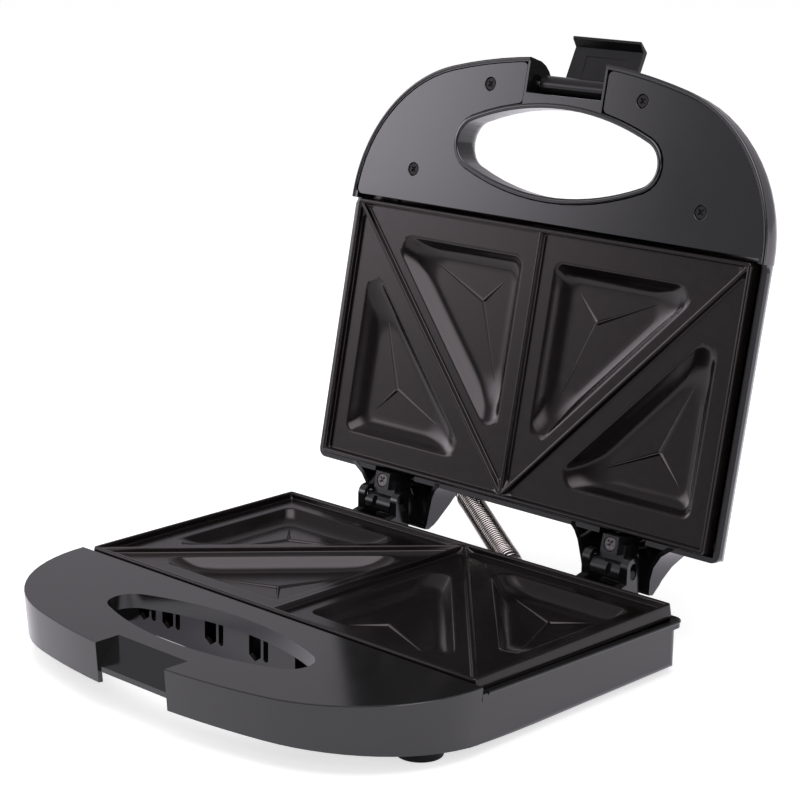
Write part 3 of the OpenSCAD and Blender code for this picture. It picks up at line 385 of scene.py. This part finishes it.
def plate_mesh():
    V, F = [], []
    for cell in CELLS:
        for s in (1, -1):
            add_cell(V, F, *sided(*cell, s))
    rings = [round_rect(PLATE_HALF - inset, inset, PLATE_D - inset, r) for inset, z, r in RIM_PROFILE]
    add_rings(V, F, rings, [z for inset, z, r in RIM_PROFILE])
    for tri in CREASE_TRIS:
        P = [np.array(p, float) for p in tri]
        opposite = [np.linalg.norm(P[(k + 1) % 3] - P[(k + 2) % 3]) for k in range(3)]
        centre = sum(P[k] * opposite[k] for k in range(3)) / sum(opposite)
        for corner in P:
            for s in (1, -1):
                add_crease(V, F, centre, corner, s)
    return np.array(V), F


pv, pf = plate_mesh()
make("lower_plate_cast", place(pv), pf, "plate", "base", ("lower_plate",), merge=1e-6, angle=60)
make("upper_plate_cast", upper(pv), pf, "plate", "lid", ("upper_plate",), merge=1e-6, angle=60)


# ---------------------------------------------------------------- wire guard
def lifted(p):
    """A point of the shut lid where the open lid has it, still in mm."""
    return turn_x(p, OPEN, AXIS_Y, AXIS_Z)[0]


def spline(points, n):
    """Catmull-Rom curve through the points, n steps a span."""
    P = [2 * points[0] - points[1]] + list(points) + [2 * points[-1] - points[-2]]
    out = []
    for k in range(1, len(P) - 2):
        a, b, c, d = P[k - 1:k + 3]
        for j in range(n):
            t = j / n
            out.append(0.5 * (2 * b + (c - a) * t + (2 * a - 5 * b + 4 * c - d) * t * t
                              + (3 * b - a - 3 * c + d) * t ** 3))
    out.append(P[-2])
    return np.array(out)


def frames(path):
    """Two normals at each point of a path, carried along without twist."""
    t = np.gradient(path, axis=0)
    t /= np.linalg.norm(t, axis=1)[:, None]
    u = np.cross(t[0], [1, 0, 0])
    out = []
    for q in t:
        u = u - q * (u @ q)
        u = u / np.linalg.norm(u)
        out.append((u, np.cross(q, u)))
    return out


def tube(path, r, seg):
    """Vertices and faces of a closed tube round a path."""
    V = []
    for p, (u, w) in zip(path, frames(path)):
        for k in range(seg):
            a = 2 * pi * k / seg
            V.append(p + r * (cos(a) * u + sin(a) * w))
    last = (len(path) - 1) * seg
    return V, rings_faces(len(path), seg) + [tuple(range(seg))[::-1], tuple(range(last, last + seg))]


def helix(path, radius, pitch, wire, steps=14, seg=7):
    """A wire wound round a path, with steps points a turn and seg round the wire."""
    length = np.concatenate([[0], np.cumsum(np.linalg.norm(np.diff(path, axis=0), axis=1))])
    s = np.linspace(0, length[-1], int(length[-1] / pitch * steps))

    def at_s(values):
        return np.stack([np.interp(s, length, [v[k] for v in values]) for k in range(3)], 1)

    normals = frames(path)
    u, w = at_s([n[0] for n in normals]), at_s([n[1] for n in normals])
    a = (2 * pi * s / pitch)[:, None]
    return tube(at_s(path) + radius * (np.cos(a) * u + np.sin(a) * w), wire, seg)


GUARD_BASE = np.array([24.0, 121.2, -15.0])  # its hole in the base's rear wall
GUARD_LID = np.array([-24.0, 122.5, 12.0])  # its hole in the shut lid's rear wall
GUARD_INSIDE = np.array([0, -3, 0])
GUARD_ELBOW = GUARD_BASE + [-1.0, 3.4, 1.2]
LOW, HIGH = np.array([11.7, 130.0, -4.3]), np.array([-21.5, 146.4, 7.7])  # ends of the straight stretch
STRAIGHT = (-0.22, 0.0, 1 / 3, 2 / 3, 1.0, 1.14)  # points on it, as shares of the way from LOW to HIGH
COIL_R, COIL_PITCH, WIRE_R, SLEEVE_R = 4.98, 1.3, 0.33, 4.45
guard_path = spline([GUARD_BASE + GUARD_INSIDE, GUARD_ELBOW] + [(1 - t) * LOW + t * HIGH for t in STRAIGHT]
                    + [lifted(GUARD_LID), lifted(GUARD_LID + GUARD_INSIDE)], 12)
gv, gf = helix(guard_path, COIL_R, COIL_PITCH, WIRE_R)
guard = make("wire_guard_coil", place(np.array(gv)), gf, "spring", None, ("wire_guard",))
sv, sf = tube(guard_path, SLEEVE_R, 20)
sleeve = make("wire_guard_sleeve", place(np.array(sv)), sf, "sleeve", None, angle=60)
for o in (guard, sleeve):
    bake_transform(o)

# ---------------------------------------------------------------- hinge shelves of the base
SHELF_SIDE = [(120.9, -14.0), (120.9, -5.4), (124.0, -5.2), (127.5, -5.6), (130.5, -6.6), (135.2, -7.2),
              (138.4, -7.4), (139.2, -8.0), (139.2, -9.4), (138.4, -10.2), (133.0, -12.4), (124.0, -14.0)]
SHELF_X0, SHELF_X1, SHELF_EDGE, SHELF_DRAW = 57.2, 72.8, 0.2, 0.25
SHELF_MID_Y, SHELF_MID_Z = 129.0, -9.5


def shelf(sign):
    """Web between a hinge's two ears, hollowed under the barrel, closing the base's rear edge."""
    V = []
    for x, g in ((SHELF_X0, SHELF_DRAW), (SHELF_X0 + SHELF_EDGE, 0.0),
                 (SHELF_X1 - SHELF_EDGE, 0.0), (SHELF_X1, SHELF_DRAW)):
        for y, z in SHELF_SIDE:
            y += g if y < SHELF_MID_Y else -g
            z += g if z < SHELF_MID_Z else -g
            V.append((sign * x, y, z))
    n = len(SHELF_SIDE)
    return V, rings_faces(4, n) + [tuple(range(n)), tuple(range(3 * n, 4 * n))]


for tag, sign in (("left", -1), ("right", 1)):
    hv, hf = shelf(sign)
    make("hinge_shelf_" + tag, place(hv), hf, "hinge_block", "base", angle=40)

# ---------------------------------------------------------------- beads of the shells
HALF_W, CORNER_R, REACH, LID_RIM = 113.5, 66.0, 72.0, 1.6
FRONT_R = (CORNER_R ** 2 - (HALF_W - CORNER_R) ** 2 - REACH ** 2) / (2 * (CORNER_R - REACH))
FRONT_CY = FRONT_R - REACH
TURN = math.atan2(HALF_W - CORNER_R, FRONT_CY)
BEAD_HIGH, BEAD_FOOT, BEAD_STEPS = 0.55, 0.5, 10
RIM_BEAD, OVAL_BEAD = (0.04, 1.56), (0.08, 2.12)  # from the shell's outline
LATCH_GAP_X = 20.7


def half_plan(i, x_end):
    """Left half of the handle's outline moved in by i, from the hinge side to x_end at the latch gap."""
    end = 1.5 * pi - math.asin(x_end / (FRONT_R - i))
    return ([(-HALF_W + i, 0.5)] + arc_points(-HALF_W + CORNER_R, 0, CORNER_R - i, pi, 1.5 * pi - TURN, 30)
            + arc_points(0, FRONT_CY, FRONT_R - i, 1.5 * pi - TURN, end, 14)[1:])


def bead(paths, zs, close):
    """Strip through matching outlines at the heights zs, closed back to the first."""
    n, m = len(paths[0]), len(paths)
    V = [(p[0], p[1], z) for path, z in zip(paths, zs) for p in path]
    F = []
    for i in range(m):
        a, b = i * n, (i + 1) % m * n
        for k in range(n if close else n - 1):
            F.append((a + k, a + (k + 1) % n, b + (k + 1) % n, b + k))
    if not close:
        F += [tuple(i * n for i in range(m)), tuple(i * n + n - 1 for i in range(m))[::-1]]
    return V, F


def hump(lo, hi):
    """Offsets and heights of a round bead between two offsets, hanging below the lid's rim."""
    t = [k / BEAD_STEPS for k in range(BEAD_STEPS + 1)]
    return ([lo + (hi - lo) * (1 - cos(pi * q)) / 2 for q in t] + [hi, lo],
            [LID_RIM - BEAD_HIGH * sin(pi * q) ** 0.9 for q in t] + [LID_RIM + BEAD_FOOT] * 2)


offs, zs = hump(*RIM_BEAD)
bv, bf = bead([half_plan(i, LATCH_GAP_X) for i in offs], zs, False)
for tag, sign in (("left", 1), ("right", -1)):
    side = opened([(p[0] * sign, p[1], p[2]) for p in bv])
    make("lid_rim_bead_" + tag, side, bf, "housing", "lid", angle=50)

OVAL_A, OVAL_B, OVAL_END, OVAL_Y = 54.5, 18.8, 10.0, 31.6
OVAL_SIDE = ((OVAL_A - OVAL_END) ** 2 + OVAL_B ** 2 - OVAL_END ** 2) / (2 * (OVAL_B - OVAL_END))
OVAL_TURN = math.atan2(OVAL_A - OVAL_END, OVAL_SIDE - OVAL_B)


def oval_plan(g):
    """The finger opening's outline moved out by g, of four arcs."""
    t, pts = OVAL_TURN, []
    for cx, cy, r, a0, a1, n in ((OVAL_A - OVAL_END, 0, OVAL_END + g, t - pi / 2, pi / 2 - t, 16),
                                 (0, OVAL_B - OVAL_SIDE, OVAL_SIDE + g, pi / 2 - t, pi / 2 + t, 28),
                                 (OVAL_END - OVAL_A, 0, OVAL_END + g, pi / 2 + t, 1.5 * pi - t, 16),
                                 (0, OVAL_SIDE - OVAL_B, OVAL_SIDE + g, 1.5 * pi - t, 1.5 * pi + t, 28)):
        pts += arc_points(cx, cy, r, a0, a1, n)[1:]
    return [(x, y - OVAL_Y) for x, y in pts]


offs, zs = hump(*OVAL_BEAD)
bv, bf = bead([oval_plan(g) for g in offs], zs, True)
make("lid_oval_bead", opened(bv), bf, "housing", "lid", angle=50)

LIP_X, LIP_Y0, LIP_Y1, LIP_CORNER, LIP_BEAD_R = 112.55, 3.0, 122.15, 4.4, 0.62
LIP_Z, LIP_FALL = -4.55, 2.2  # its height at the front, and its fall over the plate's depth


def lip_path():
    """Upper edge of the base's lip, from the left front round the rear to the right front."""
    run = LIP_Y1 - LIP_CORNER - LIP_Y0
    half = ([(LIP_X, LIP_Y0 + k * run / 12) for k in range(13)]
            + arc_points(LIP_X - LIP_CORNER, LIP_Y1 - LIP_CORNER, LIP_CORNER, 0, pi / 2, 8)[1:])
    left = [(-p[0], p[1]) for p in half]
    return np.array([(p[0], p[1], LIP_Z - LIP_FALL * p[1] / PLATE_D) for p in left + half[::-1]])


bv, bf = tube(lip_path(), LIP_BEAD_R, 12)
make("base_lip_bead", place(np.array(bv)), bf, "housing", "base", angle=60)

# ---------------------------------------------------------------- carried-over solids
LOOK = {"base_housing": "housing", "lid_housing": "housing", "lid_handle_panel": "panel",
        "lower_element": "element", "upper_element": "element", "lower_reflector": "sheet",
        "upper_reflector": "sheet", "lower_plate_screws": "screw_steel", "upper_plate_screws": "screw_steel",
        "thermostat": "ceramic", "thermal_fuse": "hinge_steel", "terminal_block": "ceramic", "feet": "foot",
        "panel_screws": "screw_dark", "hinge_block_left": "hinge_block", "hinge_block_right": "hinge_block",
        "hinge_screws": "screw_grey", "hinge_pins": "screw_dark", "power_lens": "lens_red",
        "ready_lens": "lens_green", "power_lamp": "lamp", "ready_lamp": "lamp", "latch_pin": "hinge_steel",
        "latch": "latch"}
# width in mm of a node's rounded edges
EDGE = {"base_housing": 0.5, "lid_housing": 0.45, "lid_handle_panel": 0.6, "feet": 0.6}
OTHER_EDGE = 0.3


def weld_smooth():
    """Node group that joins the facets' vertices and shades them smooth."""
    g = bpy.data.node_groups.new("weld_smooth", "GeometryNodeTree")
    g.interface.new_socket("Geometry", in_out="INPUT", socket_type="NodeSocketGeometry")
    g.interface.new_socket("Geometry", in_out="OUTPUT", socket_type="NodeSocketGeometry")
    source, result = g.nodes.new("NodeGroupInput"), g.nodes.new("NodeGroupOutput")
    weld, shade = g.nodes.new("GeometryNodeMergeByDistance"), g.nodes.new("GeometryNodeSetShadeSmooth")
    weld.inputs["Distance"].default_value = 1e-5
    g.links.new(source.outputs[0], weld.inputs["Geometry"])
    g.links.new(weld.outputs[0], shade.inputs["Geometry"])
    g.links.new(shade.outputs[0], result.inputs[0])
    return g


WELD = weld_smooth()


def finish_cad(o, edge):
    """Rounds a solid's edges by edge mm and shades its facets as one surface."""
    o.modifiers.new("weld", "NODES").node_group = WELD
    flat = o.modifiers.new("flat", "DECIMATE")
    flat.decimate_type = "DISSOLVE"
    flat.angle_limit = rad(0.5)
    bevel = o.modifiers.new("edge", "BEVEL")
    bevel.width = edge / 1000
    bevel.segments = 2
    bevel.limit_method = "ANGLE"
    bevel.angle_limit = rad(34)
    bevel.use_clamp_overlap = True
    bevel.harden_normals = False
    weight = o.modifiers.new("weight", "WEIGHTED_NORMAL")
    weight.keep_sharp = False
    weight.weight = 90


for name, look in LOOK.items():
    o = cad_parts[name]
    o.data.materials.clear()
    dress(o, look)
    finish_cad(o, EDGE.get(name, OTHER_EDGE))

# ---------------------------------------------------------------- stage
FLOOR_HALF = 4
FLOOR_ALBEDO = 0.8
FLOOR_SEEN, FLOOR_IN_GLOSS = 0.66, 0.56  # what it gives off to the camera, and to gloss
GLOSS_TONE = (1.0, 0.93, 1.07, 1)


def seen_ray(nt):
    """1 where the camera, a reflection or a view through glass sees the surface."""
    path = nt.nodes.new("ShaderNodeLightPath")
    a, b = nt.nodes.new("ShaderNodeMath"), nt.nodes.new("ShaderNodeMath")
    a.operation = b.operation = "MAXIMUM"
    nt.links.new(path.outputs["Is Camera Ray"], a.inputs[0])
    nt.links.new(path.outputs["Is Glossy Ray"], a.inputs[1])
    nt.links.new(a.outputs[0], b.inputs[0])
    nt.links.new(path.outputs["Is Transmission Ray"], b.inputs[1])
    return b.outputs[0]


def floor_material():
    """Diffuse floor that shows the camera and gloss a white background and keeps the shadow."""
    m = bpy.data.materials.new("floor")
    m.use_nodes = True
    nt = m.node_tree
    nt.nodes.clear()
    out = nt.nodes.new("ShaderNodeOutputMaterial")
    matt = nt.nodes.new("ShaderNodeBsdfDiffuse")
    matt.inputs["Color"].default_value = (FLOOR_ALBEDO, FLOOR_ALBEDO, FLOOR_ALBEDO, 1)
    glow = nt.nodes.new("ShaderNodeEmission")
    camera_ray = nt.nodes.new("ShaderNodeLightPath").outputs["Is Camera Ray"]
    level = nt.nodes.new("ShaderNodeMapRange")
    level.inputs["To Min"].default_value = FLOOR_IN_GLOSS
    level.inputs["To Max"].default_value = FLOOR_SEEN
    nt.links.new(camera_ray, level.inputs["Value"])
    nt.links.new(level.outputs["Result"], glow.inputs["Strength"])
    tone = nt.nodes.new("ShaderNodeMix")
    tone.data_type = "RGBA"
    tone.inputs["A"].default_value = GLOSS_TONE
    tone.inputs["B"].default_value = (1, 1, 1, 1)
    nt.links.new(camera_ray, tone.inputs["Factor"])
    nt.links.new(tone.outputs["Result"], glow.inputs["Color"])
    both = nt.nodes.new("ShaderNodeAddShader")
    nt.links.new(matt.outputs[0], both.inputs[0])
    nt.links.new(glow.outputs[0], both.inputs[1])
    pick = nt.nodes.new("ShaderNodeMixShader")
    nt.links.new(seen_ray(nt), pick.inputs[0])
    nt.links.new(matt.outputs[0], pick.inputs[1])
    nt.links.new(both.outputs[0], pick.inputs[2])
    nt.links.new(pick.outputs[0], out.inputs[0])
    return m


h = FLOOR_HALF
floor_me = bpy.data.meshes.new("floor")
floor_me.from_pydata([(-h, -h, 0), (h, -h, 0), (h, h, 0), (-h, h, 0)], [], [(0, 1, 2, 3)])
floor_me.materials.append(floor_material())
floor = bpy.data.objects.new("floor", floor_me)
bpy.context.collection.objects.link(floor)

# ---------------------------------------------------------------- world
AMBIENT = 0.5
SOFT_LEVEL, ABOVE_LEVEL, SIDE_LEVEL = 3.6, 4.0, 5.0
ROOM_LEVEL, ROOM_DARKER = 0.48, 0.36
WORLD_TONE = (1.0, 0.955, 1.03, 1)
ACROSS = (0.788, -0.616, 0.0)  # level, along the soft box, which fades to the right


def ramp(nt, direction, lo, hi, flip=False):
    """Smooth 0 to 1 ramp of the view direction's part along one direction."""
    part = nt.nodes.new("ShaderNodeVectorMath")
    part.operation = "DOT_PRODUCT"
    part.inputs[1].default_value = direction
    span = nt.nodes.new("ShaderNodeMapRange")
    span.interpolation_type = "SMOOTHSTEP"
    span.inputs["From Min"].default_value = lo
    span.inputs["From Max"].default_value = hi
    if flip:
        span.inputs["To Min"].default_value = 1
        span.inputs["To Max"].default_value = 0
    nt.links.new(nt.nodes.new("ShaderNodeTexCoord").outputs["Generated"], part.inputs[0])
    nt.links.new(part.outputs["Value"], span.inputs["Value"])
    return span.outputs["Result"]


def calc(nt, op, a, b):
    n = nt.nodes.new("ShaderNodeMath")
    n.operation = op
    for k, v in enumerate((a, b)):
        if isinstance(v, (int, float)):
            n.inputs[k].default_value = v
        else:
            nt.links.new(v, n.inputs[k])
    return n.outputs[0]


def gloss_level(nt):
    """What gloss shows: a soft box to the left of the front, and light from above and from the
    right, in a pale room that is darker to the front right."""
    soft = ramp(nt, ACROSS, -0.13, 0.05, flip=True)
    for mask in (ramp(nt, ACROSS, -0.92, -0.70), ramp(nt, (-0.616, -0.788, 0.0), 0.05, 0.3),
                 ramp(nt, (0, 0, 1), 0.24, 0.52, flip=True), ramp(nt, (0, 0, 1), -0.01, 0.17)):
        soft = calc(nt, "MULTIPLY", soft, mask)
    above = calc(nt, "MULTIPLY", ramp(nt, (0.2, -0.45, 0.87), 0.72, 0.97), ABOVE_LEVEL)
    side = calc(nt, "MULTIPLY", ramp(nt, (0.99, -0.14, 0.0), 0.945, 0.985), SIDE_LEVEL)
    darker = calc(nt, "MULTIPLY", ramp(nt, (0.62, -0.78, 0.0), 0.25, 0.8), ROOM_DARKER)
    room = calc(nt, "SUBTRACT", ROOM_LEVEL, darker)
    lit = calc(nt, "ADD", calc(nt, "MULTIPLY", soft, SOFT_LEVEL), side)
    return calc(nt, "ADD", lit, calc(nt, "ADD", above, room))


def studio_world():
    """White to the camera, gloss_level to reflections and a plain grey light to the rest."""
    world = bpy.data.worlds.new("studio")
    world.use_nodes = True
    nt = world.node_tree
    nt.nodes.clear()
    out = nt.nodes.new("ShaderNodeOutputWorld")
    ambient = nt.nodes.new("ShaderNodeBackground")
    ambient.inputs["Strength"].default_value = AMBIENT
    gloss = nt.nodes.new("ShaderNodeBackground")
    gloss.inputs["Color"].default_value = WORLD_TONE
    nt.links.new(gloss_level(nt), gloss.inputs["Strength"])
    white = nt.nodes.new("ShaderNodeBackground")
    white.inputs["Strength"].default_value = 1.0
    seen = nt.nodes.new("ShaderNodeMixShader")
    nt.links.new(nt.nodes.new("ShaderNodeLightPath").outputs["Is Camera Ray"], seen.inputs[0])
    nt.links.new(gloss.outputs[0], seen.inputs[1])
    nt.links.new(white.outputs[0], seen.inputs[2])
    pick = nt.nodes.new("ShaderNodeMixShader")
    nt.links.new(seen_ray(nt), pick.inputs[0])
    nt.links.new(ambient.outputs[0], pick.inputs[1])
    nt.links.new(seen.outputs[0], pick.inputs[2])
    nt.links.new(pick.outputs[0], out.inputs[0])
    return world


bpy.context.scene.world = studio_world()

# ---------------------------------------------------------------- lamps
LAMP_TARGET = Vector((0, 0, 0.1))


def area(name, loc, size, power):
    """Square lamp that no reflection shows."""
    la = bpy.data.lights.new(name, "AREA")
    la.energy = power
    la.size = size
    o = bpy.data.objects.new(name, la)
    bpy.context.collection.objects.link(o)
    o.location = loc
    o.rotation_mode = "QUATERNION"
    o.rotation_quaternion = (LAMP_TARGET - Vector(loc)).to_track_quat("-Z", "Y")
    o.visible_glossy = False


area("top", (0.1, -0.1, 1.5), 1.2, 9)
area("left", (-1.3, -0.5, 0.8), 0.9, 4)
area("front_right", (1.1, -1.2, 0.9), 0.8, 3)

# ---------------------------------------------------------------- camera
# fitted to the plates' corners in the photo, in the plate's frame
CAMERA_AT = [614.09, -587.72, 303.45]
AZIMUTH, ELEVATION, ROLL = rad(44.45), rad(14.82), rad(0.45)
PHOTO_PX, FOCAL_PX, SHIFT_X_PX, SHIFT_Y_PX = 800, 2280, 63.3, 15.7
SENSOR = 36

cam_data = bpy.data.cameras.new("camera")
cam = bpy.data.objects.new("camera", cam_data)
bpy.context.collection.objects.link(cam)
bpy.context.scene.camera = cam
back = Vector((sin(AZIMUTH) * cos(ELEVATION), -cos(AZIMUTH) * cos(ELEVATION), sin(ELEVATION)))
right = Vector((cos(AZIMUTH), sin(AZIMUTH), 0))
up = back.cross(right)
x_axis = cos(ROLL) * right + sin(ROLL) * up
y_axis = -sin(ROLL) * right + cos(ROLL) * up
rot = Matrix((x_axis, y_axis, back)).transposed()
cam.matrix_world = Matrix.Translation(Vector(place(CAMERA_AT)[0])) @ rot.to_4x4()
cam_data.sensor_width = SENSOR
cam_data.lens = FOCAL_PX * SENSOR / PHOTO_PX
cam_data.shift_x = SHIFT_X_PX / PHOTO_PX
cam_data.shift_y = SHIFT_Y_PX / PHOTO_PX
cam_data.clip_start = 0.05
cam_data.clip_end = 30

bpy.context.scene.view_settings.view_transform = "Standard"
